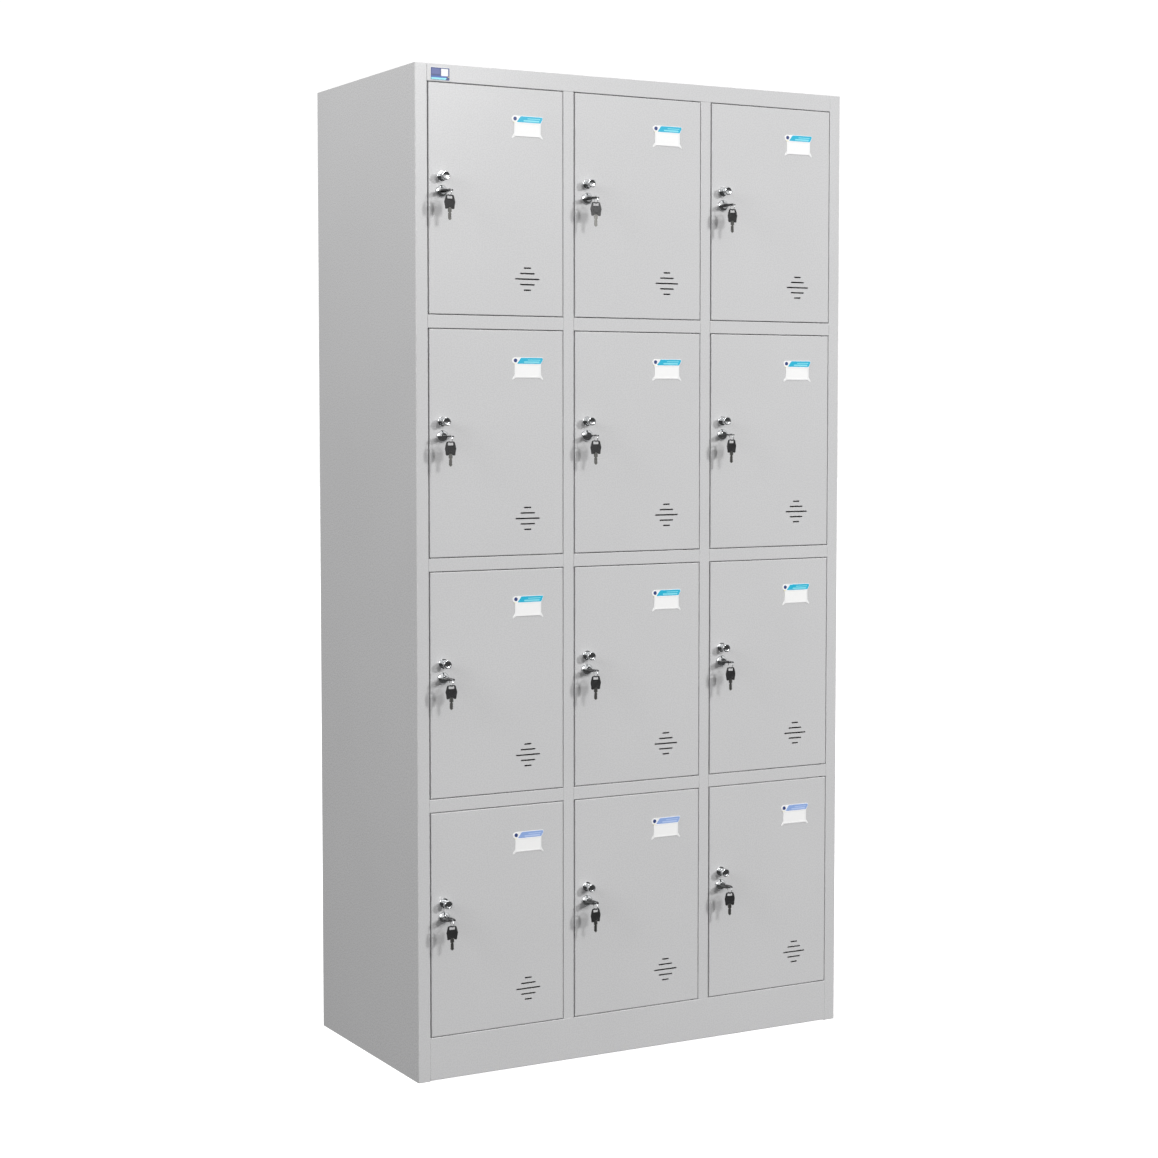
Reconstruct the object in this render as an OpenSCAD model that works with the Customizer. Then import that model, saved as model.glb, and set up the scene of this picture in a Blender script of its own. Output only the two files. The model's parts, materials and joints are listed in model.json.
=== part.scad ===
// Twelve-door steel locker with key-operated cam locks.
// Millimetres, +Z up, the doors face -Y. The origin is on the floor, at the centre of the
// whole footprint: the cabinet plus the keys that stand out in front of the doors.

/* [Cabinet] */
// Width over the side panels
cabinet_w = 915; // [880:1:1100]
// Depth from the door faces to the back panel
cabinet_d = 450; // [380:1:600]
// Height from the floor to the top panel
cabinet_h = 1830; // [1750:1:2100]
// Thickness of the sheet steel
sheet = 0.8; // [0.7:0.1:1.0]

/* [Front frame] */
// Width of the side panel's folded front face
stile_w = 24; // [22:1:30]
// Width of the upright between two columns of doors
mullion_w = 22; // [20:1:28]
// Height of the rail between two doors of a column
rail_h = 24; // [20:1:30]
// Height of the rail above the top doors
top_rail_h = 31; // [30:1:45]
// Height of the kick plate's top edge above the floor
kick_h = 80; // [70:1:120]
// Depth that the frame's edges are folded back
frame_depth = 19.4; // [19.4:0.1:19.6]
// Outer corner bend of the side panels, measured to the middle of the sheet
corner_bend = 1.6; // [1.4:0.2:3]

/* [Doors] */
// Gap between a door and the frame on the lock's side
lock_gap = 2.4; // [2:0.1:3]
// Gap on the hinge's side
hinge_gap = 1; // [1:0.1:2]
// Gap above and below a door
end_gap = 1.2; // [1.2:0.1:2.4]
// Depth of the folded door pan
door_depth = 18; // [17:0.5:18]
// Rounding of the door's folded front edges
door_edge_r = 1.6; // [1.2:0.1:2]
// Width of the lip folded inwards along the door's rear edge
door_lip = 10; // [6:1:11]
// Distance from the hinge pin's axis to the door's right edge
pin_inset = 11; // [11:0.5:14]
// Distance from the hinge pin's axis back from the door's face
pin_setback = 5.5; // [5:0.1:5.8]
// Radius of the hinge pins
pin_r = 2.5; // [2:0.1:2.5]

/* [Vents] */
// Length of the longest vent slot
vent_long = 50; // [40:1:60]
// Distance between neighbouring slots
vent_pitch = 10; // [8:1:12]
// Height of a slot
vent_slot_h = 2.6; // [1.5:0.1:3]

/* [Locks and keys] */
// Distance of the lock's axis from the door's left edge
lock_inset = 25.5; // [24:0.5:30]
// Height of the lock's axis above the door's bottom edge
lock_height = 217.6; // [180:0.1:230]
// Distance of the pull knob above the lock
knob_above_lock = 26.6; // [24:0.1:40]
// How far the lock's domed bezel stands out of the door
bezel_out = 7; // [6:0.5:8]
// How far the inserted key's bow stands out of the door
key_out = 33; // [33:0.5:36]
// Mean radius of the key ring
ring_r = 7; // [6.8:0.1:7.2]

/* [Hidden] */
$fn = 48;
columns = 3;
rows = 4;
door_count = columns * rows;

// Frame openings and doors
opening_w = (cabinet_w - 2 * stile_w - (columns - 1) * mullion_w) / columns;
opening_h = (cabinet_h - kick_h - top_rail_h - (rows - 1) * rail_h) / rows;
door_w = opening_w - lock_gap - hinge_gap;
door_h = opening_h - 2 * end_gap;
column_pitch = opening_w + mullion_w;
row_pitch = opening_h + rail_h;
edge_bend = 0.8;            // bends of the frame's narrow folds, to the middle of the sheet
stop_lip = 6;               // how far the stop lip reaches behind the door's lock side
back_y = cabinet_d - sheet; // inner face of the back panel

// Fits
seat = 0.05;                // gap between pieces that are bolted or clamped together
running = 0.05;             // radial clearance of a pin or plug that turns

// Top and bottom of the cabinet
kick_lift = 1.5;            // gap under the kick plate
foot_flange = 18;           // width of the side panel's flange on the floor
rear_flange = 15;           // width of the side panel's flange under the back panel
rear_notch = corner_bend + sheet; // clears the side panels' rear bends at the shelves' corners
shelf_flange = 12;          // height of the shelf's side flanges
floor_lap = 12;             // setback of the cabinet's floor under the kick plate's fold

// Hinge pins
pin_head_r = pin_setback - edge_bend - sheet / 2 - 0.2; // clears the bend in front of the pin
pin_head_h = 1.2;
pin_shoulder_r = 4;
pin_shoulder_h = 0.8;
pin_end = 3;                // how far the pin reaches past the door's fold

// Vents and name card, from the door's lower left corner
vent_x = door_w - 73.4;
vent_z = 66.6;
vent_shares = [1, 0.6, 0.3]; // slot lengths from the middle outwards, as shares of the longest
card_w = 54;
card_h = 37;
card_t = 1;
card_band_h = 12;
card_band_w = 65;
card_ear = 5.5;             // how far the ears reach out to each side of the panel
card_ear_w = 3;             // width of an ear's tip
card_ear_drop = 4;          // how far the ears reach below the panel
card_below_top = 49;

// Pull knob
knob_out = 20;
knob_r = 7.75;
knob_flange_r = 9;
knob_flange_t = 1.5;
knob_neck_r = 5.5;
knob_cap_t = 6.6;           // straight part of the knob's head
knob_cone_t = 4;            // tapered part behind it
knob_dish_r = 5.6;
knob_dish_depth = 1.2;
knob_screw_r = 2;
knob_screw_head_r = 4;
knob_screw_head_h = 2;

// Lock barrel, nut, plug and cam
bezel_r = 11;
bezel_rim = 2;              // height of the straight rim under the dome
bezel_dome_r = 12.8;        // radius of the ball that the dome is a part of
barrel_r = 9;
barrel_back = 19.8;
nut_r = 13;
nut_t = 4;
plug_r = 6;
plug_front = 0.3;           // how far the plug's face stands out of the bezel
keyway_w = 7.6;
keyway_t = 2.2;
keyway_depth = 23;
cam_y = 20.2;
cam_t = 2;
cam_reach = 34;
cam_end_r = 6;
cam_hub_r = 8;
tail_side = 6.4;            // square tail of the plug that carries the cam
cam_screw_r = 2;
cam_screw_depth = 6;
cam_washer_r = 6;
cam_washer_t = 0.8;
cam_screw_head_r = 4.4;
cam_screw_head_h = 2.4;

// Keys and key ring
bow_w = 22;
bow_len = 25;
bow_t = 2.2;
bow_tip_w = 13;
bow_slot_w = 11;
bow_slot_h = 4.8;
bow_bar = 2;                // bar between the slot and the bow's tip
bow_foot_w = 18;
bow_waist_w = 19.2;
bow_waist_at = 6;           // height of the waist above the foot
bow_widest_at = 12.5;
bow_tip_cut = 1.5;          // slanted corners beside the tip
bow_notch_w = 7;            // notch between the bow's two feet
bow_notch_h = 1.5;
blade_w = 7;                // at the collar under the bow
blade_cut_w = 5.8;          // below the collar
blade_neck_w = 3.4;         // between them
blade_t = 1.8;
blade_len = 20;
blade_collar = 5.2;         // height of the collar
blade_neck = 1.8;           // height of the neck
blade_cuts = 3;             // tooth cuts along the blade's edge
blade_cut_pitch = 3;
blade_cut_depth = 1.2;
ring_wire_r = 0.6;
ring_play = 0.15;           // play between the ring and each bar that it passes round
ring_shift = 0.2;           // how far the ring's centre lies in front of the key's tip
ring_y = -key_out - ring_shift;
ring_inside = ring_r - ring_wire_r - ring_play;
// The ring's centre hangs below the lock's axis, with the corner of the bow's bar inside the ring
ring_drop = sqrt(pow(ring_inside, 2) - pow(bow_bar + ring_shift, 2)) - bow_t / 2;
// The spare key's tip, below the lock's axis: its bar lies on the ring's lowest stretch
spare_top = ring_drop + sqrt(pow(ring_inside, 2) - pow(bow_t / 2, 2)) - bow_bar;

// Nameplate on the top rail
plate_w = 38;
plate_h = 23;
plate_t = 0.6;
plate_inset = 6.6;          // from the left stile
plate_lift = 2;             // above the rail's lower edge

// The whole footprint runs from the front of the key rings to the back panel
key_reach = key_out + ring_shift + ring_r + ring_wire_r;
front_y = (key_reach - cabinet_d) / 2;

// Colours
paint = [0.83, 0.83, 0.84];
door_paint = [0.85, 0.85, 0.86];
inner_paint = [0.72, 0.73, 0.75];
chrome = [0.80, 0.81, 0.83];
steel = [0.62, 0.63, 0.65];
card_colour = [0.25, 0.72, 0.85];
bow_colour = [0.08, 0.08, 0.09];
plate_colour = [0.13, 0.20, 0.50];

function tag(n) = str(n < 10 ? "0" : "", n);
function each_door(prefix) = [for (n = [1 : door_count]) str(prefix, tag(n))];

// ---------------------------------------------------------------- placing

// Doors are numbered from the top left, row by row
function door_column(n) = (n - 1) % columns;
function door_row(n) = rows - 1 - floor((n - 1) / columns);
function column_x(c) = stile_w + c * column_pitch;
function row_z(r) = kick_h + r * row_pitch;
function pin_x(c) = column_x(c) + opening_w - hinge_gap - pin_inset;

// Moves a piece drawn from the cabinet's lower left front corner into the part's frame
module placed() {
    translate([-cabinet_w / 2, front_y, 0]) children();
}

// Puts a piece drawn from a door's lower left front corner on door n
module at_door(n) {
    placed() translate([column_x(door_column(n)) + lock_gap, 0, row_z(door_row(n)) + end_gap]) children();
}

// Puts a piece drawn round the lock's axis on door n
module at_lock(n) {
    at_door(n) translate([lock_inset, 0, lock_height]) children();
}

// Extrudes an outline drawn in (Y, Z) along X
module along_x(length) {
    rotate([90, 0, 90]) linear_extrude(length) children();
}

// A cylinder along Y from y to y + length
module rod_y(r, y, length, sides = $fn) {
    translate([0, y, 0]) rotate([-90, 0, 0]) cylinder(r = r, h = length, $fn = sides);
}

// ---------------------------------------------------------------- folded sheet

function heading(a, b) = (b - a) / norm(b - a);

// A straight stretch of sheet seen end-on
module flat_stretch(a, b) {
    side = [abs(heading(a, b).y), abs(heading(a, b).x)] * sheet / 2;
    low = [min(a.x, b.x), min(a.y, b.y)];
    high = [max(a.x, b.x), max(a.y, b.y)];
    translate(low - side) square(high - low + 2 * side);
}

// A right-angled bend of sheet seen end-on
module bend(before, corner, after, r) {
    ahead = heading(before, corner);
    turn = heading(corner, after);
    centre = corner - r * ahead + r * turn;
    reach = r + sheet;
    intersection() {
        translate(centre) difference() {
            circle(r + sheet / 2);
            circle(r - sheet / 2);
        }
        polygon([centre, centre + reach * ahead, centre + reach * (ahead - turn), centre - reach * turn]);
    }
}

// Sheet seen end-on, following points along its middle, with one bend radius per inner point
module folded(points, bends) {
    last = len(points) - 1;
    for (i = [0 : last - 1]) {
        way = heading(points[i], points[i + 1]);
        cut_start = i > 0 ? bends[i - 1] : 0;
        cut_end = i < last - 1 ? bends[i] : 0;
        flat_stretch(points[i] + cut_start * way, points[i + 1] - cut_end * way);
    }
    for (i = [1 : last - 1]) bend(points[i - 1], points[i], points[i + 1], bends[i - 1]);
}

// ---------------------------------------------------------------- cabinet

mid = sheet / 2; // the middle of a sheet that lies on a coordinate plane

// Side panel in plan: rear flange, side, front stile, and its fold back into the cabinet.
// The stile on the lock side ends in a lip that stops the doors and that the cams hook behind.
module side_outline(with_stop) {
    fold_end = [[stile_w - mid, frame_depth - mid]];
    lip_end = [[stile_w + stop_lip, frame_depth - mid]];
    folded(
        concat(
            [[rear_flange, back_y - mid], [mid, back_y - mid], [mid, mid], [stile_w - mid, mid]],
            fold_end,
            with_stop ? lip_end : []),
        [corner_bend, corner_bend, edge_bend, edge_bend]);
}

// Everything beside an upright's stop lip where no door is: the rails pass there
module rail_passages() {
    for (r = [0 : rows]) {
        bottom = r == 0 ? 0 : row_z(r - 1) + opening_h;
        top = r == rows ? cabinet_h : row_z(r);
        translate([0, 0, bottom]) cube([2 * stop_lip, frame_depth + sheet, top - bottom]);
    }
}

module side_panel(with_stop) {
    difference() {
        linear_extrude(cabinet_h - sheet) side_outline(with_stop);
        translate([stile_w, 0, 0]) rail_passages();
    }
    translate([sheet, frame_depth + sheet, 0])
        cube([foot_flange, back_y - frame_depth - 3 * sheet, sheet]);
}

module side_panel_left() {
    color(paint) placed() side_panel(true);
}

module side_panel_right() {
    color(paint) placed() translate([cabinet_w, 0, 0]) mirror([1, 0, 0]) side_panel(false);
}

module back_panel() {
    margin = corner_bend + sheet;
    color(paint) placed()
        translate([margin, back_y, sheet])
            cube([cabinet_w - 2 * margin, sheet, cabinet_h - 2 * sheet]);
}

// Top panel: a flat lid on the side panels, with its corners rounded like their bends
module top_panel() {
    r = corner_bend + mid;
    color(paint) placed() translate([0, 0, cabinet_h - sheet]) linear_extrude(sheet) {
        translate([r, 0]) square([cabinet_w - 2 * r, cabinet_d - sheet]);
        translate([0, r]) square([cabinet_w, cabinet_d - sheet - 2 * r]);
        for (x = [r, cabinet_w - r], y = [r, cabinet_d - sheet - r]) translate([x, y]) circle(r);
    }
}

// Rail above the top doors: its face reaches up to the lid, its lower edge is folded back
module top_rail() {
    bottom = cabinet_h - top_rail_h + mid;
    top = cabinet_h - sheet;
    color(paint) placed() difference() {
        translate([stile_w, 0, 0]) along_x(cabinet_w - 2 * stile_w)
            folded([[frame_depth, bottom], [mid, bottom], [mid, top]], [edge_bend]);
        for (c = [0 : columns - 1]) pin_hole(c, cabinet_h - top_rail_h);
    }
}

// Floor of the bottom compartments, carried by its side flanges
module floor_panel() {
    top = kick_h - sheet;
    rear_y = frame_depth + sheet;
    depth = back_y - rear_y - rear_notch;
    color(inner_paint) placed() translate([sheet, 0, 0]) {
        translate([stile_w, floor_lap, top - sheet])
            cube([cabinet_w - 2 * sheet - 2 * stile_w, back_y - floor_lap, sheet]);
        translate([0, rear_y, top - sheet]) cube([cabinet_w - 2 * sheet, depth, sheet]);
        for (x = [0, cabinet_w - 3 * sheet])
            translate([x, rear_y, top - shelf_flange]) cube([sheet, depth, shelf_flange]);
    }
}

// Channel below the bottom doors, held clear of the floor
module kick_plate() {
    bottom = kick_lift + mid;
    top = kick_h - mid;
    color(paint) placed() difference() {
        translate([stile_w, 0, 0]) along_x(cabinet_w - 2 * stile_w)
            folded(
                [[frame_depth, bottom], [mid, bottom], [mid, top], [frame_depth, top]],
                [edge_bend, edge_bend]);
        for (c = [0 : columns - 1]) pin_hole(c, kick_h - sheet);
    }
}

// Divider between columns c and c + 1: a web across the cabinet's depth behind a folded mullion
module divider(c) {
    left = column_x(c) + opening_w;
    right = left + mullion_w;
    web_x = (left + right) / 2 - mid;
    web_bottom = kick_h - sheet;
    color(paint) placed() {
        difference() {
            translate([0, 0, kick_h]) linear_extrude(cabinet_h - top_rail_h - kick_h) {
                folded(
                    [[left + mid, frame_depth], [left + mid, mid], [right - mid, mid],
                     [right - mid, frame_depth - mid], [right + stop_lip, frame_depth - mid]],
                    [edge_bend, edge_bend, edge_bend]);
                translate([web_x, mid]) square([sheet, frame_depth]);
            }
            translate([right, 0, 0]) rail_passages();
        }
        translate([web_x, frame_depth, web_bottom])
            cube([sheet, back_y - frame_depth, cabinet_h - sheet - web_bottom]);
    }
}

module divider_left() {
    divider(0);
}

module divider_right() {
    divider(1);
}

// Hole for a hinge pin through a fold of column c that starts at height z
module pin_hole(c, z) {
    translate([pin_x(c), pin_setback, z - sheet]) cylinder(r = pin_r + running, h = 3 * sheet);
}

// Inner face of the wall on each side of column c, behind the front frame
function bay_left(c) = c == 0 ? sheet : column_x(c) - (mullion_w - sheet) / 2;
function bay_right(c) =
    c == columns - 1 ? cabinet_w - sheet : column_x(c) + opening_w + (mullion_w - sheet) / 2;

// Shelf above row r of column c: its folded front edge is the rail between two doors
module shelf(c, r) {
    top = row_z(r + 1);
    bay_w = bay_right(c) - bay_left(c);
    rear_y = frame_depth + sheet;
    depth = back_y - rear_y - rear_notch;
    difference() {
        translate([column_x(c), 0, 0]) along_x(opening_w)
            folded(
                [[frame_depth, top - rail_h + mid], [mid, top - rail_h + mid], [mid, top - mid],
                 [back_y, top - mid]],
                [edge_bend, edge_bend]);
        pin_hole(c, top - rail_h);
        pin_hole(c, top - sheet);
    }
    translate([bay_left(c), rear_y, top - sheet]) cube([bay_w, depth, sheet]);
    for (x = [bay_left(c), bay_right(c) - sheet])
        translate([x, rear_y, top - shelf_flange]) cube([sheet, depth, shelf_flange]);
}

module shelves() {
    color(inner_paint) placed()
        for (c = [0 : columns - 1], r = [0 : rows - 2]) shelf(c, r);
}

// Shouldered pin standing up through a fold whose outer face is at z = 0
module hinge_pin() {
    translate([0, 0, -sheet - pin_head_h]) cylinder(r = pin_head_r, h = pin_head_h);
    translate([0, 0, -sheet]) cylinder(r = pin_r, h = sheet + end_gap + sheet + pin_end);
    cylinder(r = pin_shoulder_r, h = pin_shoulder_h);
}

module hinge_pins() {
    color(steel) placed()
        for (c = [0 : columns - 1], r = [0 : rows - 1])
            translate([pin_x(c), pin_setback, row_z(r)]) {
                hinge_pin();
                translate([0, 0, opening_h]) mirror([0, 0, 1]) hinge_pin();
            }
}

module nameplate() {
    color(plate_colour) placed()
        translate([stile_w + plate_inset, -plate_t, cabinet_h - top_rail_h + plate_lift])
            cube([plate_w, plate_t, plate_h]);
}

// ---------------------------------------------------------------- doors

// Outline of a block whose two corners on the front side, y = 0, are rounded
module rounded_front(w, d, r) {
    translate([0, r]) square([w, d - r]);
    translate([r, 0]) square([w - 2 * r, r]);
    for (x = [r, w - r]) translate([x, r]) circle(r);
}

// Block with its four front edges rounded
module pressed_block(w, d, h, r) {
    intersection() {
        linear_extrude(h) rounded_front(w, d, r);
        translate([w, 0, 0]) rotate([0, -90, 0]) linear_extrude(w) rounded_front(h, d, r);
    }
}

// Horizontal slot with round ends, cut through the door's face
module vent_slot(length) {
    r = vent_slot_h / 2;
    translate([r - length / 2, -sheet, -r]) cube([length - 2 * r, 3 * sheet, vent_slot_h]);
    for (x = [r - length / 2, length / 2 - r]) translate([x, 0, 0]) rod_y(r, -sheet, 3 * sheet);
}

// Slots in a diamond: each row is shorter than the one nearer the middle
module vent() {
    steps = len(vent_shares) - 1;
    for (i = [-steps : steps])
        translate([0, 0, i * vent_pitch]) vent_slot(vent_long * vent_shares[abs(i)]);
}

module door(n) {
    window = sheet + door_lip;
    color(door_paint) at_door(n) difference() {
        pressed_block(door_w, door_depth, door_h, door_edge_r);
        translate([sheet, sheet, sheet])
            pressed_block(
                door_w - 2 * sheet, door_depth - 2 * sheet, door_h - 2 * sheet, door_edge_r - sheet);
        translate([window, door_depth - 2 * sheet, window])
            cube([door_w - 2 * window, 3 * sheet, door_h - 2 * window]);
        translate([vent_x, 0, vent_z]) vent();
        translate([lock_inset, 0, lock_height]) rod_y(barrel_r + seat, -sheet, 3 * sheet);
        translate([lock_inset, 0, lock_height + knob_above_lock])
            rod_y(knob_screw_r + seat, -sheet, 3 * sheet);
        for (z = [-sheet, door_h - 2 * sheet])
            translate([door_w - pin_inset, pin_setback, z]) cylinder(r = pin_r + running, h = 3 * sheet);
    }
}

// Threaded barrel with a domed bezel, bored for the plug
module lock_barrel() {
    ball_y = sqrt(pow(bezel_dome_r, 2) - pow(bezel_r, 2)) - bezel_rim;
    color(chrome) difference() {
        union() {
            intersection() {
                translate([0, ball_y, 0]) sphere(bezel_dome_r);
                rod_y(bezel_r, -bezel_out, bezel_out);
            }
            rod_y(barrel_r, 0, barrel_back);
        }
        rod_y(plug_r + running, -bezel_out - 1, barrel_back + bezel_out + 2);
    }
}

module lock_nut() {
    color(steel) difference() {
        rod_y(nut_r, sheet + seat, nut_t, 6);
        rod_y(barrel_r + seat, 0, nut_t + 3 * sheet);
    }
}

// Pull knob: a head with a dished face on a narrower neck, held by a screw from inside the door
module pull_knob() {
    color(chrome) difference() {
        union() {
            rod_y(knob_flange_r, -knob_flange_t, knob_flange_t);
            rod_y(knob_neck_r, -knob_out, knob_out);
            rod_y(knob_r, -knob_out, knob_cap_t);
            translate([0, knob_cap_t - knob_out, 0]) rotate([-90, 0, 0])
                cylinder(r1 = knob_r, r2 = knob_neck_r, h = knob_cone_t);
        }
        rod_y(knob_dish_r, -knob_out - 1, knob_dish_depth + 1);
        rod_y(knob_screw_r + seat, -knob_out / 2, knob_out);
    }
    color(steel) {
        rod_y(knob_screw_head_r, sheet + seat, knob_screw_head_h);
        rod_y(knob_screw_r, 1 - knob_out / 2, knob_out / 2 + sheet);
    }
}

// Name card holder: a header band that overhangs a plain panel with two splayed ears at its foot
module card_outline() {
    band_r = card_band_h / 2;
    half_band = card_band_w / 2;
    translate([-card_w / 2, 0]) square([card_w, card_h]);
    translate([-half_band + band_r, card_h - card_band_h])
        square([card_band_w - 2 * band_r, card_band_h]);
    for (x = [-half_band + band_r, half_band - band_r])
        translate([x, card_h - band_r]) circle(band_r);
    for (side = [-1, 1]) {
        edge = side * card_w / 2;
        tip = edge + side * card_ear;
        polygon([
            [edge, card_ear], [tip, -card_ear_drop], [tip - side * card_ear_w, -card_ear_drop],
            [edge - side * card_ear_w, 0], [edge - side * card_ear_w, card_ear]]);
    }
}

module name_card() {
    color(card_colour)
        translate([vent_x, 0, door_h - card_below_top - card_h])
            rotate([90, 0, 0]) linear_extrude(card_t) card_outline();
}

// The pieces fixed to door n
module door_fittings(n) {
    at_lock(n) {
        lock_barrel();
        lock_nut();
        translate([0, 0, knob_above_lock]) pull_knob();
    }
    at_door(n) name_card();
}

// ---------------------------------------------------------------- plug, cam and keys

// Turning plug with a keyway in front and a square tail for the cam
module plug() {
    front = -bezel_out - plug_front;
    color(chrome) difference() {
        union() {
            rod_y(plug_r, front, cam_y - seat - front);
            translate([-tail_side / 2, 0, -tail_side / 2]) cube([tail_side, cam_y + cam_t, tail_side]);
        }
        translate([-keyway_w / 2, front - 1, -keyway_t / 2]) cube([keyway_w, keyway_depth, keyway_t]);
        rod_y(cam_screw_r + seat, cam_y - cam_screw_depth, cam_screw_depth + cam_t + 1);
    }
}

// Cam on the plug's tail, pointing down when the door is unlocked
module cam() {
    hole = tail_side + 2 * seat;
    color(steel) translate([0, cam_y, 0]) rotate([-90, 0, 0]) linear_extrude(cam_t) difference() {
        union() {
            circle(cam_hub_r);
            translate([-cam_end_r, 0]) square([2 * cam_end_r, cam_reach - cam_end_r]);
            translate([0, cam_reach - cam_end_r]) circle(cam_end_r);
        }
        translate([-hole / 2, -hole / 2]) square(hole);
    }
}

module cam_screw() {
    washer_y = cam_y + cam_t + seat;
    color(steel) {
        rod_y(cam_screw_r, cam_y - cam_screw_depth + 1, cam_screw_depth + cam_t);
        rod_y(cam_washer_r, washer_y, cam_washer_t);
        rod_y(cam_screw_head_r, washer_y + cam_washer_t, cam_screw_head_h, 6);
    }
}

// The other half of a symmetrical outline, given its right half from the foot upwards
function mirrored(half) = [for (i = [len(half) - 1 : -1 : 0]) [-half[i].x, half[i].y]];

// Outline of a key's bow, standing on its shoulder, with the slot near its tip
module bow_outline() {
    half = [
        [bow_notch_w / 2, bow_notch_h], [bow_notch_w / 2 + bow_notch_h, 0], [bow_foot_w / 2, 0],
        [bow_waist_w / 2, bow_waist_at], [bow_w / 2, bow_widest_at],
        [bow_tip_w / 2 + bow_tip_cut, bow_len - bow_tip_cut], [bow_tip_w / 2, bow_len]];
    difference() {
        polygon(concat(half, mirrored(half)));
        translate([-bow_slot_w / 2, bow_len - bow_bar - bow_slot_h]) square([bow_slot_w, bow_slot_h]);
    }
}

// Outline of the blade below the shoulder: collar, neck, then the toothed part with a pointed tip
module blade_outline() {
    half_cut = blade_cut_w / 2;
    cut_top = -blade_collar - blade_neck;
    half = [
        [half_cut, -blade_len + half_cut], [half_cut, cut_top],
        [blade_neck_w / 2, cut_top], [blade_neck_w / 2, -blade_collar],
        [blade_w / 2, -blade_collar], [blade_w / 2, bow_notch_h]];
    difference() {
        polygon(concat([[0, -blade_len]], half, mirrored(half)));
        for (i = [1 : blade_cuts])
            translate([half_cut - blade_cut_depth, cut_top - blade_cut_pitch * (i - 0.5)])
                rotate(-45) square(blade_cut_w);
    }
}

// Key in the XZ plane: its shoulder at z = 0, the bow above and the blade below
module key() {
    color(bow_colour) translate([0, bow_t / 2, 0]) rotate([90, 0, 0]) linear_extrude(bow_t) bow_outline();
    color(steel) translate([0, blade_t / 2, 0]) rotate([90, 0, 0]) linear_extrude(blade_t) blade_outline();
}

module key_ring() {
    color(steel) translate([0, ring_y, -ring_drop]) rotate([0, 90, 0])
        rotate_extrude() translate([ring_r, 0]) circle(ring_wire_r);
}

// The pieces that turn together in lock n: plug, cam, cam screw, inserted key and key ring
module lock_plug(n) {
    at_lock(n) {
        plug();
        cam();
        cam_screw();
        translate([0, bow_len - key_out, 0]) rotate([90, 0, 0]) key();
        key_ring();
    }
}

// Second key, hanging from the ring of lock n
module spare_key(n) {
    at_lock(n) translate([0, ring_y, -spare_top - bow_len]) key();
}

// ---------------------------------------------------------------- nodes

side_panel_left();
side_panel_right();
back_panel();
top_panel();
top_rail();
floor_panel();
kick_plate();
divider_left();
divider_right();
shelves();
hinge_pins();
nameplate();
for (n = [1 : door_count]) {
    door(n);
    door_fittings(n);
    lock_plug(n);
    spare_key(n);
}
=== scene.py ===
"""Looks of the twelve-door steel locker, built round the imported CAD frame.

Metres, +Z up, the doors face -Y. Small shapes are drawn in millimetres and scaled once, in merged().
"""

import json
import math

import bmesh
import bpy
from mathutils import Matrix, Vector


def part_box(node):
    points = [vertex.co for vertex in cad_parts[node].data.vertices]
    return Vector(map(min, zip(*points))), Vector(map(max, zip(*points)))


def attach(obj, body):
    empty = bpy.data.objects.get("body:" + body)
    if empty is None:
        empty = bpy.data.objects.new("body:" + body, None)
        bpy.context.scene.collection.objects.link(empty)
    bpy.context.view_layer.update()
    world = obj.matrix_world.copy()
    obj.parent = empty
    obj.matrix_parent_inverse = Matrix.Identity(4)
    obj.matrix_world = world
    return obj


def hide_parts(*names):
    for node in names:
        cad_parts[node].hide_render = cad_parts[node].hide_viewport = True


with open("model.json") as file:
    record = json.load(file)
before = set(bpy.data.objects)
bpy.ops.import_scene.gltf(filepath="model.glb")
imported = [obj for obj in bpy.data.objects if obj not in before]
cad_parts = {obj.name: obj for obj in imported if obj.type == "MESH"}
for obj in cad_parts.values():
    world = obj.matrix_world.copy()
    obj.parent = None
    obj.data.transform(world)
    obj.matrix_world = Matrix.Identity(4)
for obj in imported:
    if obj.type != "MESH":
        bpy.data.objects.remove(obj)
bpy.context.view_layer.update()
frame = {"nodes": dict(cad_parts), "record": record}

MM = 0.001
DOORS = 12
COLUMNS = 3

# Sizes shared with the CAD source, in millimetres. A distance "out" is measured from the door's face.
KNOB_ABOVE_LOCK = 26.6
PLAY = 0.05                  # between pieces that turn in each other or are clamped together
DOOR_SHEET = 0.8 + PLAY      # the door's sheet and the play behind it
BEZEL_R = 11
BEZEL_RIM = 2                # height of the straight rim under the bezel's dome
DOME_R = 12.8                # radius of the ball that the dome is a part of
BARREL_R = 9
BARREL_BACK = -19.8
NUT_R = 13
NUT_T = 4
PLUG_R = 6
PLUG_OUT = 7.3
KEYWAY = (7.6, 2.2)
CAM_OUT = -20.2
CAM_T = 2
CAM_REACH = 34
CAM_HUB_R = 8
CAM_END_R = 6
TAIL_SIDE = 6.4
KNOB_R = 7.75
KNOB_OUT = 20
KEY_OUT = 33
BOW_LEN = 25
BOW_T = 2.2
BOW_TIP_ABOVE_PIVOT = 2.85   # of the spare key, above the ring's lowest point
RING_R = 7
RING_AHEAD = 0.2             # the ring's centre, in front of the inserted key's tip
RING_DROP = 4.75             # the ring's centre, below the lock's axis
CARD_RIGHT = 73.4            # from the door's right edge to the card's middle
CARD_BELOW_TOP = 86          # from the door's top edge to the foot of the card's panel


# ------------------------------------------------------------------ materials

def new_material(name, roughness, metallic=0.0):
    """A material whose uniform values sit on the shader's own sockets."""
    made = bpy.data.materials.new(name)
    made.use_nodes = True
    shader = made.node_tree.nodes["Principled BSDF"]
    shader.inputs["Roughness"].default_value = roughness
    shader.inputs["Metallic"].default_value = metallic
    return made, made.node_tree, shader


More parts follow.
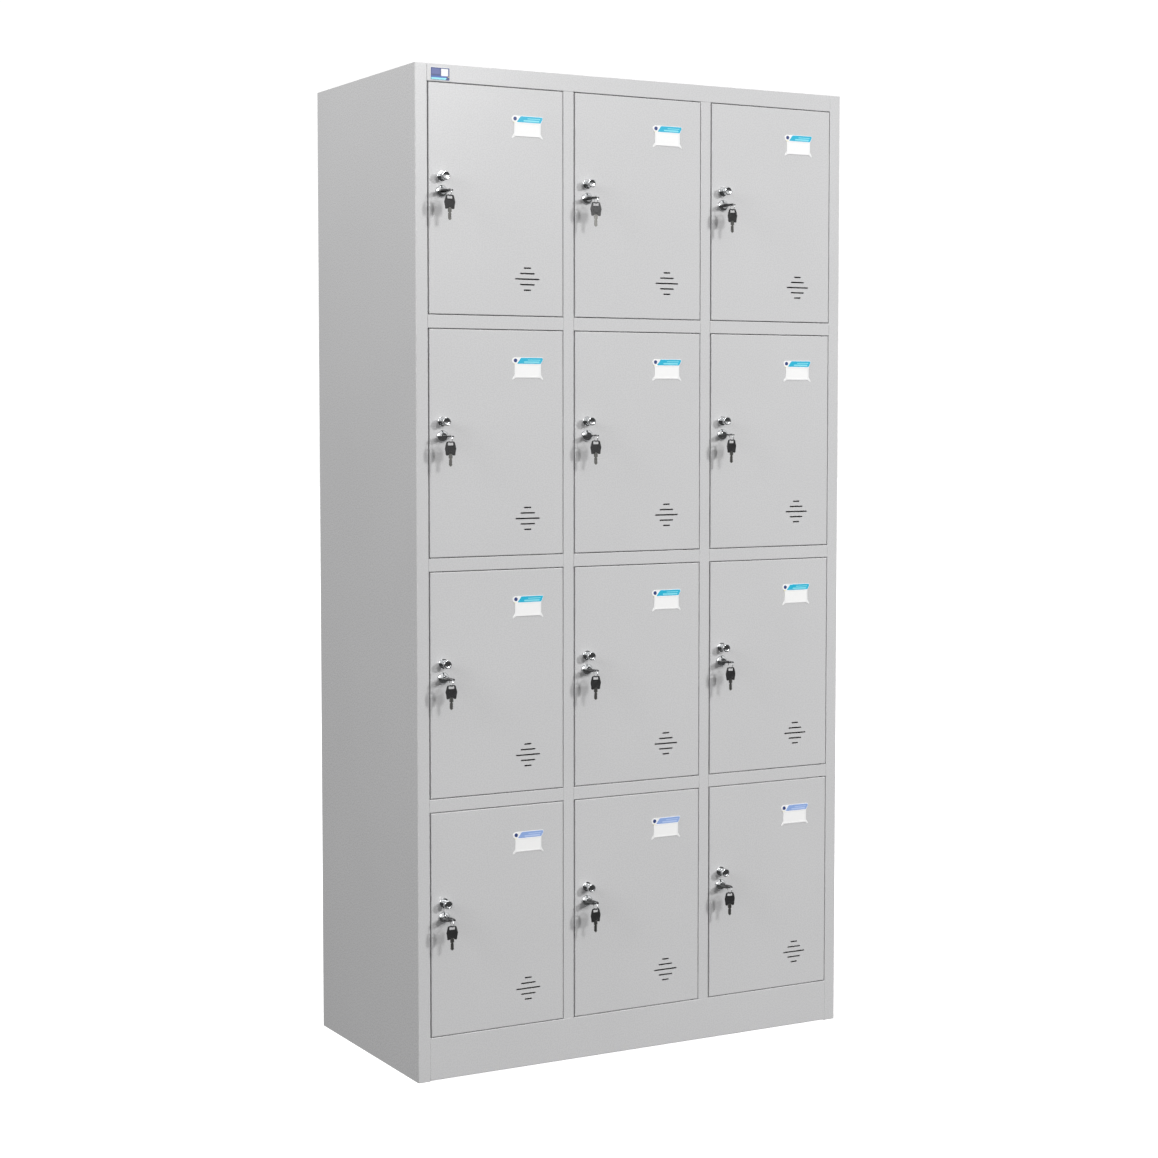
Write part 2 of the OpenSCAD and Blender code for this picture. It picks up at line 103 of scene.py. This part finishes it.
def noise(tree, scale, detail=2.0, stretch=(1, 1, 1)):
    """Noise that stays with the piece: it is read at the piece's own coordinates."""
    coordinates = tree.nodes.new("ShaderNodeTexCoord")
    mapping = tree.nodes.new("ShaderNodeMapping")
    mapping.inputs["Scale"].default_value = stretch
    texture = tree.nodes.new("ShaderNodeTexNoise")
    texture.inputs["Scale"].default_value = scale
    texture.inputs["Detail"].default_value = detail
    tree.links.new(coordinates.outputs["Object"], mapping.inputs["Vector"])
    tree.links.new(mapping.outputs["Vector"], texture.inputs["Vector"])
    return texture.outputs["Fac"]


def ranged(tree, value, low, high):
    """Maps the middle of a noise, 0.3 to 0.7, to low..high."""
    remap = tree.nodes.new("ShaderNodeMapRange")
    remap.inputs["From Min"].default_value = 0.3
    remap.inputs["From Max"].default_value = 0.7
    remap.inputs["To Min"].default_value = low
    remap.inputs["To Max"].default_value = high
    tree.links.new(value, remap.inputs["Value"])
    return remap.outputs["Result"]


def vary_colour(tree, shader, value, colour, spread):
    """Base colour that drifts by a share, spread, to each side of colour."""
    ramp = tree.nodes.new("ShaderNodeValToRGB")
    ends = zip(ramp.color_ramp.elements, (0.3, 0.7), (1 - spread, 1 + spread))
    for element, position, share in ends:
        element.position = position
        element.color = [channel * share for channel in colour] + [1]
    tree.links.new(value, ramp.inputs["Fac"])
    tree.links.new(ramp.outputs["Color"], shader.inputs["Base Color"])


def add_bump(tree, shader, value, depth, under=None):
    """Bump of a depth in metres, on top of another bump if one is given."""
    bump = tree.nodes.new("ShaderNodeBump")
    bump.inputs["Strength"].default_value = 1.0
    bump.inputs["Distance"].default_value = depth
    tree.links.new(value, bump.inputs["Height"])
    if under is not None:
        tree.links.new(under, bump.inputs["Normal"])
    tree.links.new(bump.outputs["Normal"], shader.inputs["Normal"])
    return bump.outputs["Normal"]


def powder_coat(name, colour):
    """Sprayed and baked paint: faint clouds, orange peel a few millimetres wide, and a fine grain."""
    made, tree, shader = new_material(name, 0.27)
    vary_colour(tree, shader, noise(tree, 5, 3), colour, 0.012)
    peel = noise(tree, 420, 1)
    grain = noise(tree, 1500, 2)
    tree.links.new(ranged(tree, peel, 0.24, 0.31), shader.inputs["Roughness"])
    add_bump(tree, shader, grain, 0.00002, add_bump(tree, shader, peel, 0.00006))
    return made


def plated(name, colour, roughness, polish):
    """Plated metal: soft streaks in its roughness and faint polishing marks of a depth polish."""
    made, tree, shader = new_material(name, roughness, metallic=1.0)
    vary_colour(tree, shader, noise(tree, 160, 3), colour, 0.03)
    streaks = noise(tree, 500, 3, stretch=(1, 1, 6))
    tree.links.new(ranged(tree, streaks, 0.8 * roughness, 1.3 * roughness), shader.inputs["Roughness"])
    add_bump(tree, shader, streaks, polish)
    return made


def moulded(name, colour, roughness, spread=0.03):
    """Moulded or printed plastic with a fine grain."""
    made, tree, shader = new_material(name, roughness)
    vary_colour(tree, shader, noise(tree, 90, 2), colour, spread)
    grain = noise(tree, 1800, 2)
    tree.links.new(ranged(tree, grain, 0.85 * roughness, 1.15 * roughness), shader.inputs["Roughness"])
    add_bump(tree, shader, grain, 0.00002)
    return made


COAT = powder_coat("powder_coat", (0.62, 0.62, 0.625))
CHROME = plated("chrome", (0.63, 0.64, 0.65), 0.07, 0.000002)
ZINC = plated("zinc_plate", (0.62, 0.63, 0.64), 0.28, 0.000006)
KEY_STEEL = plated("nickel_plate", (0.16, 0.158, 0.15), 0.38, 0.000004)
# Hinge pins: a black oxide finish, made this dark partly as painted shade, so the pins sit unseen in the
# shaded gap at the doors' hinge side.
OXIDE_AND_GAP_SHADE = plated("black_oxide_and_gap_shade", (0.10, 0.10, 0.105), 0.40, 0.000006)
BLACK = moulded("black_plastic", (0.018, 0.018, 0.019), 0.38)
WHITE = moulded("white_plastic", (0.93, 0.93, 0.93), 0.35, spread=0.01)
PAPER = moulded("paper_card", (0.95, 0.95, 0.945), 0.42, spread=0.01)
NAVY = moulded("navy_print", (0.04, 0.065, 0.21), 0.35)
BLUE = moulded("blue_print", (0.04, 0.12, 0.45), 0.35)
CYAN = moulded("cyan_print", (0.02, 0.48, 0.70), 0.35)
PALE_CYAN = moulded("pale_cyan_print", (0.28, 0.78, 0.88), 0.35)
PERIWINKLE = moulded("periwinkle_print", (0.30, 0.44, 0.78), 0.35)
PALE_BLUE = moulded("pale_blue_print", (0.50, 0.62, 0.90), 0.35)
SLATE = moulded("slate_blue_print", (0.09, 0.12, 0.34), 0.35)
YELLOW = moulded("yellow_print", (0.80, 0.72, 0.25), 0.35)


# ------------------------------------------------------------------ outlines, in millimetres

def circle(radius, centre=(0, 0), steps=40):
    turns = [2 * math.pi * i / steps for i in range(steps)]
    return [(centre[0] + radius * math.cos(a), centre[1] + radius * math.sin(a)) for a in turns]


def oval(half_w, half_h, centre=(0, 0)):
    return [(centre[0] + half_w * x, centre[1] + half_h * z) for x, z in circle(1)]


def box(left, bottom, right, top):
    return [(left, bottom), (right, bottom), (right, top), (left, top)]


def mirrored(half):
    """A symmetrical outline from its right half, listed from the foot upwards."""
    return half + [(-x, z) for x, z in reversed(half)]


def rounded(outline, radius):
    """The same outline with its corners rounded off."""
    steps = 4
    smooth = []
    neighbours = zip(outline[-1:] + outline[:-1], outline, outline[1:] + outline[:1])
    for before, corner, after in neighbours:
        a, b, c = Vector(before), Vector(corner), Vector(after)
        start = b + (a - b).normalized() * min(radius, 0.45 * (a - b).length)
        end = b + (c - b).normalized() * min(radius, 0.45 * (c - b).length)
        for i in range(steps + 1):
            t = i / steps
            smooth.append(tuple(start.lerp(b, t).lerp(b.lerp(end, t), t)))
    return smooth


# ------------------------------------------------------------------ shapes, in millimetres

def mesh_of(curve):
    holder = bpy.data.objects.new("curve", curve)
    mesh = bpy.data.meshes.new_from_object(holder)
    bpy.data.objects.remove(holder)
    return mesh


def plate(outlines, front, back, bevel=0.0):
    """A flat plate facing -Y between two distances out. The first outline is its edge, the rest are holes."""
    curve = bpy.data.curves.new("plate", "CURVE")
    curve.dimensions = "2D"
    curve.fill_mode = "BOTH"
    curve.extrude = (front - back) / 2 - bevel
    curve.bevel_depth = bevel
    curve.bevel_resolution = 2
    curve.offset = -bevel
    for outline in outlines:
        spline = curve.splines.new("POLY")
        spline.points.add(len(outline) - 1)
        for point, (x, z) in zip(spline.points, outline):
            point.co = (x, z, 0, 1)
        spline.use_cyclic_u = True
    mesh = mesh_of(curve)
    mesh.transform(Matrix.Translation((0, -(front + back) / 2, 0)) @ Matrix.Rotation(math.pi / 2, 4, "X"))
    return mesh


def lathe(profile):
    """A shape of revolution about the axis that points out of the door, from (radius, out) points."""
    steps = 48
    work = bmesh.new()
    rings = []
    for radius, out in profile:
        if radius == 0:
            rings.append([work.verts.new((0, -out, 0))])
        else:
            rings.append([work.verts.new((x, -out, z)) for x, z in circle(radius, steps=steps)])
    for one, other in zip(rings, rings[1:]):
        for i in range(steps):
            corners = [one[i % len(one)], one[(i + 1) % steps % len(one)],
                       other[(i + 1) % steps % len(other)], other[i % len(other)]]
            work.faces.new(list(dict.fromkeys(corners)))
    bmesh.ops.recalc_face_normals(work, faces=work.faces)
    mesh = bpy.data.meshes.new("lathe")
    work.to_mesh(mesh)
    work.free()
    return mesh


def wire(points, radius):
    """A round wire along an open line of points."""
    curve = bpy.data.curves.new("wire", "CURVE")
    curve.dimensions = "3D"
    curve.bevel_depth = radius
    curve.bevel_resolution = 3
    curve.use_fill_caps = True
    spline = curve.splines.new("POLY")
    spline.points.add(len(points) - 1)
    for point, place in zip(spline.points, points):
        point.co = (*place, 1)
    return mesh_of(curve)


def merged(name, parts):
    """One mesh in metres from (shape, material) pairs in millimetres."""
    whole = bmesh.new()
    materials = []
    for shape, material in parts:
        if material not in materials:
            materials.append(material)
        first = len(whole.faces)
        whole.from_mesh(shape)
        whole.faces.ensure_lookup_table()
        for face in whole.faces[first:]:
            face.material_index = materials.index(material)
            face.smooth = True
    bmesh.ops.scale(whole, vec=(MM, MM, MM), verts=whole.verts)
    mesh = bpy.data.meshes.new(name)
    whole.to_mesh(mesh)
    whole.free()
    for material in materials:
        mesh.materials.append(material)
    mesh.set_sharp_from_angle(angle=math.radians(32))
    return mesh


def place(name, mesh, position, body, slot, turn=None):
    """Puts a mesh in the row frame and lets it ride on a body."""
    piece = bpy.data.objects.new(name, mesh)
    bpy.context.scene.collection.objects.link(piece)
    piece.matrix_world = Matrix.Translation(position) @ (turn or Matrix.Identity(4))
    weighted = piece.modifiers.new("normals", "WEIGHTED_NORMAL")
    weighted.keep_sharp = True
    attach(piece, body)
    return piece


# ------------------------------------------------------------------ fittings on the door

def barrel_mesh():
    """Chromed domed bezel, and the threaded barrel behind the door."""
    bore = PLUG_R + PLAY
    dome_middle = BEZEL_RIM - math.sqrt(DOME_R ** 2 - BEZEL_R ** 2)
    outer, inner = BEZEL_R - 0.4, bore + 0.2
    radii = [outer + (inner - outer) * i / 9 for i in range(10)]
    dome = [(radius, dome_middle + math.sqrt(DOME_R ** 2 - radius ** 2)) for radius in radii]
    bezel = [(bore, 0), (BEZEL_R, 0), (BEZEL_R, BEZEL_RIM - 0.5), (BEZEL_R - 0.1, BEZEL_RIM)] + dome
    bezel += [(bore, dome[-1][1] - 0.2), (bore, 0)]
    thread = [(bore, 0), (BARREL_R, 0)]
    pitch = 1.25
    root = BARREL_R - 0.55
    crest = -DOOR_SHEET
    while crest > BARREL_BACK + pitch:
        thread += [
            (BARREL_R, crest), (BARREL_R, crest - 0.3 * pitch), (root, crest - 0.65 * pitch)]
        crest -= pitch
    thread += [(root, BARREL_BACK), (bore, BARREL_BACK), (bore, 0)]
    return merged("lock_barrel", [(lathe(bezel), CHROME), (lathe(thread), ZINC)])


def nut_mesh():
    """Hexagon nut on the barrel, behind the door's face."""
    hexagon = circle(NUT_R, steps=6)
    ring = plate([rounded(hexagon, 0.6), circle(BARREL_R + PLAY)], -DOOR_SHEET, -DOOR_SHEET - NUT_T, 0.5)
    return merged("lock_nut", [(ring, ZINC)])


def knob_mesh():
    """Pull knob: flange, neck, body with a rounded rim and a dished face, and the screw that holds it."""
    body = [
        (0, 0), (8.9, 0), (9, 0.4), (9, 1), (8.7, 1.4), (6.2, 1.6), (5.6, 2.2), (5.5, 3), (5.5, 8),
        (5.8, 9.4), (7.3, 12.2), (KNOB_R, 13.4), (KNOB_R, 18.8), (7.6, 19.4), (7.2, 19.85), (6.7, KNOB_OUT),
        (6, KNOB_OUT), (5.7, 19.85), (5.5, 19.4), (5, 19.1), (3.4, 18.9), (1.6, 18.82), (0, 18.8)]
    back = -DOOR_SHEET
    head = [(0, back), (4, back), (4, back - 0.7), (3.7, back - 1.2), (0, back - 1.2)]
    cross = [(0.5, 0.5), (0.5, 2.2), (-0.5, 2.2), (-0.5, 0.5), (-2.2, 0.5), (-2.2, -0.5),
             (-0.5, -0.5), (-0.5, -2.2), (0.5, -2.2), (0.5, -0.5), (2.2, -0.5), (2.2, 0.5)]
    crown = plate([circle(3.7), cross], back - 1.2, back - 2, 0.25)
    return merged("pull_knob", [(lathe(body), CHROME), (lathe(head), ZINC), (crown, ZINC)])


def card_mesh(band, bars):
    """Name card holder: panel with a framed blank card, splayed ears and a slanted header band."""
    base = [
        (27, 5.5), (27, 24.6), (28.5, 26), (32.3, 33.6), (31, 37), (-28, 37), (-32.3, 33), (-31.5, 27.6),
        (-27, 24.6), (-27, 5.5), (-32.5, -3), (-30.8, -4), (-24.5, 0), (24.5, 0), (30.8, -4), (32.5, -3)]
    window = box(-24.6, 2.4, 24.6, 23)
    header = [(27, 25.4), (31.4, 33.6), (30.2, 36.3), (-13.6, 36.3), (-21.8, 25.4)]
    accent = [(-28.2, 25.4), (-23, 25.4), (-25.8, 21.6)]
    parts = [
        (plate([rounded(base, 2)], 0.65, 0, 0.2), WHITE),
        (plate([rounded(box(-27, 0, 27, 25), 0.8), rounded(window, 0.6)], 1, 0.4, 0.2), WHITE),
        (plate([window], 0.75, 0.5), PAPER),
        (plate([rounded(header, 1.6)], 0.95, 0.5, 0.12), band),
        (plate([circle(3.5, (-25, 31.4))], 0.9, 0.5, 0.1), NAVY),
        (plate([accent], 0.9, 0.5), YELLOW),
        (plate([rounded(box(0, 31.6, 26, 33), 0.6)], 1, 0.8), bars),
        (plate([rounded(box(-8, 27.2, 24, 29.8), 0.9)], 1, 0.8), bars)]
    return merged("name_card", parts)


# ------------------------------------------------------------------ plug, cam and keys

def plug_mesh():
    """The lock's turning core: a disc with a keyway, a plain body and a square tail."""
    half_w, half_t = KEYWAY[0] / 2, KEYWAY[1] / 2
    face = plate([circle(PLUG_R), box(-half_w, -half_t, half_w, half_t)], PLUG_OUT, PLUG_OUT - 3, 0.25)
    back = CAM_OUT + PLAY
    body = lathe([(0, PLUG_OUT - 3), (PLUG_R, PLUG_OUT - 3), (PLUG_R, back), (0, back)])
    half = TAIL_SIDE / 2
    tail = plate([rounded(box(-half, -half, half, half), 0.5)], back, CAM_OUT - CAM_T, 0.15)
    return merged("lock_core", [(face, CHROME), (body, ZINC), (tail, ZINC)])


def cam_mesh():
    """Flat arm on the plug's tail, pressed from plated steel."""
    lower = math.degrees(math.asin(CAM_END_R / CAM_HUB_R)) - 90
    hub = [(CAM_HUB_R * math.cos(a), CAM_HUB_R * math.sin(a))
           for a in (math.radians(lower + (180 - 2 * lower) * i / 24) for i in range(25))]
    end_z = CAM_END_R - CAM_REACH
    end = [(CAM_END_R * math.cos(a), end_z + CAM_END_R * math.sin(a))
           for a in (math.radians(180 + 15 * i) for i in range(13))]
    half = TAIL_SIDE / 2 + 2 * PLAY
    arm = plate([hub + end, box(-half, -half, half, half)], CAM_OUT, CAM_OUT - CAM_T, 0.25)
    return merged("cam", [(arm, ZINC)])


def cam_screw_mesh():
    """Washer and hexagon head of the screw that holds the cam."""
    washer_r, washer_t = 6, 0.8
    head_r, head_h = 4.4, 2.4
    front = CAM_OUT - CAM_T - PLAY
    seat = front - washer_t
    washer = plate([circle(washer_r)], front, seat, 0.12)
    head = plate([rounded(circle(head_r, steps=6), 0.4)], seat, seat - head_h, 0.4)
    return merged("cam_screw", [(washer, ZINC), (head, ZINC)])


def key_parts():
    """A key standing on its shoulder: moulded bow above, grooved and toothed blade below."""
    outline = mirrored([
        (2, 3), (4.8, 0), (9, 0), (9.6, 6), (11, 12.5), (8, 23.5), (6.5, 25)])
    slot_hole = rounded(box(-5.5, 18.2, 5.5, 23), 0.8)
    dip_middle = (0, 10.4)
    dip = oval(7.2, 6.6, dip_middle)
    half_t = BOW_T / 2
    bow = plate([rounded(outline, 1.6), slot_hole, dip], half_t, -half_t, 0.4)
    dip_floor = plate([oval(7.5, 6.9, dip_middle)], half_t - 0.45, 0.45 - half_t)
    ridge_edges = [oval(5, 4.5, dip_middle), oval(4, 3.5, dip_middle)]
    ridge = plate(ridge_edges, half_t - 0.1, 0.1 - half_t, 0.15)
    collar = [(3.5, -5.2), (3.5, 0), (1.9, 2.9)]
    web = mirrored([(0.4, -19.6), (2.4, -17.4), (2.4, -7), (1.7, -7), (1.7, -5.2)] + collar)
    left_rail = [(-0.7, -18.8), (-0.7, 2), (-1.9, 2.9), (-3.5, 0), (-3.5, -5.2), (-1.7, -5.2), (-1.7, -7),
                 (-2.9, -7), (-2.9, -17.1), (-1.2, -18.8)]
    teeth = [(0.7, -18.8), (1.2, -18.8), (2.9, -17.1)]
    for z in (-14.5, -11.5, -8.5):
        teeth += [(2.9, z - 1.2), (1.7, z), (2.9, z + 1.2)]
    right_rail = teeth + [(2.9, -7), (1.7, -7), (1.7, -5.2), (3.5, -5.2), (3.5, 0), (1.9, 2.9), (0.7, 2)]
    return [
        (bow, BLACK), (dip_floor, BLACK), (ridge, BLACK), (plate([web], 0.5, -0.5), KEY_STEEL),
        (plate([left_rail], 0.9, -0.9, 0.12), KEY_STEEL), (plate([right_rail], 0.9, -0.9, 0.12), KEY_STEEL)]


def ring_mesh():
    """Split ring: two turns of round wire side by side."""
    points = []
    steps = 96
    for i in range(steps + 1):
        angle = 4 * math.pi * i / steps
        side = 0.76 * (i / steps - 0.5)
        points.append((side, RING_R * math.cos(angle), RING_R * math.sin(angle)))
    return merged("key_ring", [(wire(points, 0.38), CHROME)])


# ------------------------------------------------------------------ nameplate

def nameplate_mesh():
    """Blank nameplate: colour fields on a dark plate, without any lettering."""
    frame_edge = rounded(box(-19, -11.5, 19, 11.5), 1)
    field = rounded(box(-18.4, -10.9, 18.4, 10.9), 0.8)
    strip = [(-17.6, -10.1), (10.6, -10.1), (13, -6.6), (-17.6, -6.6)]
    parts = [
        (plate([frame_edge], 0.4, 0, 0.1), WHITE),
        (plate([field], 0.5, 0.2, 0.05), NAVY),
        (plate([rounded(box(-16.8, -0.6, -0.6, 9), 0.6)], 0.6, 0.4), SLATE),
        (plate([rounded(box(1.8, -3.6, 15.6, 9.2), 0.6)], 0.6, 0.4), PAPER),
        (plate([box(-17.6, -6.4, 13.2, -3.8)], 0.55, 0.4), BLUE),
        (plate([strip], 0.6, 0.4), PALE_CYAN),
        (plate([[(14.4, -5.4), (17.6, -5.4), (17.6, -3.6)]], 0.6, 0.4), YELLOW)]
    return merged("nameplate_face", parts)


# ------------------------------------------------------------------ the locker

def dress_cad_nodes():
    """Powder coat on every sheet-metal node that stays in view; the hinge pins get dark black oxide, kept
    this dark partly as painted shade so they read as the shaded gap they sit in.
    """
    for name, node in frame["nodes"].items():
        # The pins' dark colour is partly painted shade of the gap they sit in.
        material = OXIDE_AND_GAP_SHADE if name == "hinge_pins" else COAT
        for slot in node.material_slots:
            slot.material = material


def joint_position(name):
    for joint in frame["record"]["behaviour"]["joints"]:
        if joint["name"] == name:
            return Vector(joint["pos_m"])


def door_tag(number):
    return f"{number:02d}"


def lock_point(tag):
    """Where a lock's axis meets the door's face."""
    point = joint_position(f"lock_{tag}_turn")
    point.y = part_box("door_" + tag)[0].y
    return point


def shared_shapes():
    """The meshes that all twelve doors share."""
    return {
        "barrel": barrel_mesh(), "nut": nut_mesh(), "knob": knob_mesh(), "plug": plug_mesh(),
        "cam": cam_mesh(), "cam_screw": cam_screw_mesh(), "ring": ring_mesh(),
        "key": merged("key", key_parts()),
        "card": card_mesh(CYAN, PALE_CYAN), "bottom_card": card_mesh(PERIWINKLE, PALE_BLUE)}


def fit_door(number, shapes):
    """The pieces that are fixed to a door."""
    tag = door_tag(number)
    body = "door_" + tag
    lock = lock_point(tag)
    piece = place("lock_barrel_" + tag, shapes["barrel"], lock, body, "fittings_chrome")
    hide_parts("door_fittings_" + tag)
    place("lock_nut_" + tag, shapes["nut"], lock, body, "lock_steel")
    knob_at = lock + Vector((0, 0, KNOB_ABOVE_LOCK * MM))
    place("pull_knob_" + tag, shapes["knob"], knob_at, body, "fittings_chrome")
    low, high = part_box(body)
    card_at = Vector((high.x - CARD_RIGHT * MM, low.y, high.z - CARD_BELOW_TOP * MM))
    card = "bottom_card" if number > DOORS - COLUMNS else "card"
    place("name_card_" + tag, shapes[card], card_at, body, "nameplate_plastic")


def fit_lock(number, shapes):
    """The pieces that turn with a lock's plug."""
    tag = door_tag(number)
    body = "lock_" + tag
    lock = lock_point(tag)
    piece = place("lock_core_" + tag, shapes["plug"], lock, body, "lock_steel")
    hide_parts("lock_plug_" + tag)
    place("cam_" + tag, shapes["cam"], lock, body, "lock_steel")
    place("cam_screw_" + tag, shapes["cam_screw"], lock, body, "lock_steel")
    key_at = lock + Vector((0, (BOW_LEN - KEY_OUT) * MM, 0))
    bow_first = Matrix.Rotation(math.pi / 2, 4, "X")
    place("inserted_key_" + tag, shapes["key"], key_at, body, "key_plastic", bow_first)
    ring_at = lock + Vector((0, -(KEY_OUT + RING_AHEAD) * MM, -RING_DROP * MM))
    place("key_ring_" + tag, shapes["ring"], ring_at, body, "lock_steel")


def fit_spare_key(number, shapes):
    """The key that hangs from a lock's ring, turned a little differently on each door."""
    tag = door_tag(number)
    pivot = joint_position(f"spare_key_{tag}_swing")
    hang = Matrix.Translation((0, 0, (BOW_TIP_ABOVE_PIVOT - BOW_LEN) * MM))
    sway = Matrix.Rotation(math.radians(7 * math.sin(2.4 * number)), 4, "Z")
    piece = place(
        "hanging_key_" + tag, shapes["key"], pivot, "spare_key_" + tag, "key_plastic", sway @ hang)
    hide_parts("spare_key_" + tag)


def fit_doors():
    """The fittings, lock and keys of all twelve doors."""
    shapes = shared_shapes()
    for number in range(1, DOORS + 1):
        fit_door(number, shapes)
        fit_lock(number, shapes)
        fit_spare_key(number, shapes)


def fit_nameplate():
    low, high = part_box("nameplate")
    middle = Vector(((low.x + high.x) / 2, high.y, (low.z + high.z) / 2))
    piece = place("nameplate_face", nameplate_mesh(), middle, "cabinet", "nameplate_plastic")
    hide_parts("nameplate")


# ------------------------------------------------------------------ stage

def add_floor():
    """Pale floor. It glows a little, so that it meets the white backdrop without an edge."""
    mesh = bpy.data.meshes.new("floor")
    reach = 30
    corners = [(-reach, -reach, 0), (reach, -reach, 0), (reach, reach, 0), (-reach, reach, 0)]
    mesh.from_pydata(corners, [], [(0, 1, 2, 3)])
    floor = bpy.data.objects.new("floor", mesh)
    bpy.context.scene.collection.objects.link(floor)
    material = bpy.data.materials.new("floor")
    material.use_nodes = True
    shader = material.node_tree.nodes["Principled BSDF"]
    shader.inputs["Base Color"].default_value = (0.8, 0.8, 0.8, 1)
    shader.inputs["Roughness"].default_value = 0.9
    shader.inputs["Emission Color"].default_value = (1, 1, 1, 1)
    shader.inputs["Emission Strength"].default_value = 0.85
    mesh.materials.append(material)
    floor.visible_diffuse = False
    floor.visible_glossy = False


def graded_sky(tree, steps):
    """Light whose brightness depends on the height it comes from: 0 is straight below, 1 straight above."""
    direction = tree.nodes.new("ShaderNodeTexCoord")
    height = tree.nodes.new("ShaderNodeSeparateXYZ")
    lift = tree.nodes.new("ShaderNodeMapRange")
    lift.inputs["From Min"].default_value = -1
    ramp = tree.nodes.new("ShaderNodeValToRGB")
    elements = ramp.color_ramp.elements
    while len(elements) < len(steps):
        elements.new(0.5)
    for element, (position, level) in zip(elements, steps):
        element.position = position
        element.color = (level, level, level, 1)
    light = tree.nodes.new("ShaderNodeBackground")
    tree.links.new(direction.outputs["Generated"], height.inputs["Vector"])
    tree.links.new(height.outputs["Z"], lift.inputs["Value"])
    tree.links.new(lift.outputs["Result"], ramp.inputs["Fac"])
    tree.links.new(ramp.outputs["Color"], light.inputs["Color"])
    return light.outputs["Background"]


def add_world():
    """White backdrop. Paint gets a weak even light from it, shiny metal sees a studio with a dark horizon."""
    world = bpy.data.worlds.new("studio")
    bpy.context.scene.world = world
    world.use_nodes = True
    tree = world.node_tree
    backdrop = tree.nodes["Background"]
    backdrop.inputs["Color"].default_value = (1, 1, 1, 1)
    backdrop.inputs["Strength"].default_value = 1.05
    ambient = graded_sky(tree, [(0, 0.12), (0.5, 0.12), (1, 0.74)])
    reflected = graded_sky(tree, [(0, 0.1), (0.4, 0.06), (0.5, 0.08), (0.54, 0.4), (0.6, 1), (1, 1.1)])
    path = tree.nodes.new("ShaderNodeLightPath")
    seen = ambient
    for ray, light in (("Is Glossy Ray", reflected), ("Is Camera Ray", backdrop.outputs["Background"])):
        mix = tree.nodes.new("ShaderNodeMixShader")
        tree.links.new(path.outputs[ray], mix.inputs["Fac"])
        tree.links.new(seen, mix.inputs[1])
        tree.links.new(light, mix.inputs[2])
        seen = mix.outputs["Shader"]
    tree.links.new(seen, tree.nodes["World Output"].inputs["Surface"])


def add_light(name, azimuth, elevation, distance, size, power, target=(0, -0.2, 1.0)):
    """A soft square light that faces target. Azimuth 0 is in front of the doors, 90 to their right."""
    data = bpy.data.lights.new(name, "AREA")
    data.size = size
    data.energy = power
    lamp = bpy.data.objects.new(name, data)
    a, e = math.radians(azimuth), math.radians(elevation)
    away = Vector((math.sin(a) * math.cos(e), -math.cos(a) * math.cos(e), math.sin(e)))
    lamp.location = Vector(target) + distance * away
    lamp.rotation_euler = away.to_track_quat("Z", "Y").to_euler()
    bpy.context.scene.collection.objects.link(lamp)
    return lamp


def add_lights():
    """A key light and a harder one for the shadows, a sheen on the paint, and a fill for the left side."""
    add_light("key_light", azimuth=12.5, elevation=20, distance=8, size=1.44, power=198)
    side = add_light("side_light", azimuth=36, elevation=19, distance=8, size=0.56, power=291)
    side.visible_glossy = False
    sheen = add_light("sheen_light", azimuth=19, elevation=17, distance=8, size=0.8, power=30)
    sheen.visible_diffuse = False
    left_side = (-0.4, 0, 1.2)
    add_light("fill_light", azimuth=-78, elevation=24, distance=5.5, size=2.6, power=177, target=left_side)


def add_camera():
    """The reference view: from the front left, a little above the middle, slightly downwards."""
    data = bpy.data.cameras.new("camera")
    data.lens = 70.61
    data.shift_y = -0.03
    camera = bpy.data.objects.new("camera", data)
    camera.location = (-2.160, -3.887, 1.215)
    camera.rotation_euler = (math.radians(90 - 3.35), 0, math.radians(-28.91))
    bpy.context.scene.collection.objects.link(camera)
    bpy.context.scene.camera = camera


dress_cad_nodes()
fit_doors()
fit_nameplate()
add_floor()
add_world()
add_lights()
add_camera()
bpy.context.scene.view_settings.view_transform = "Standard"
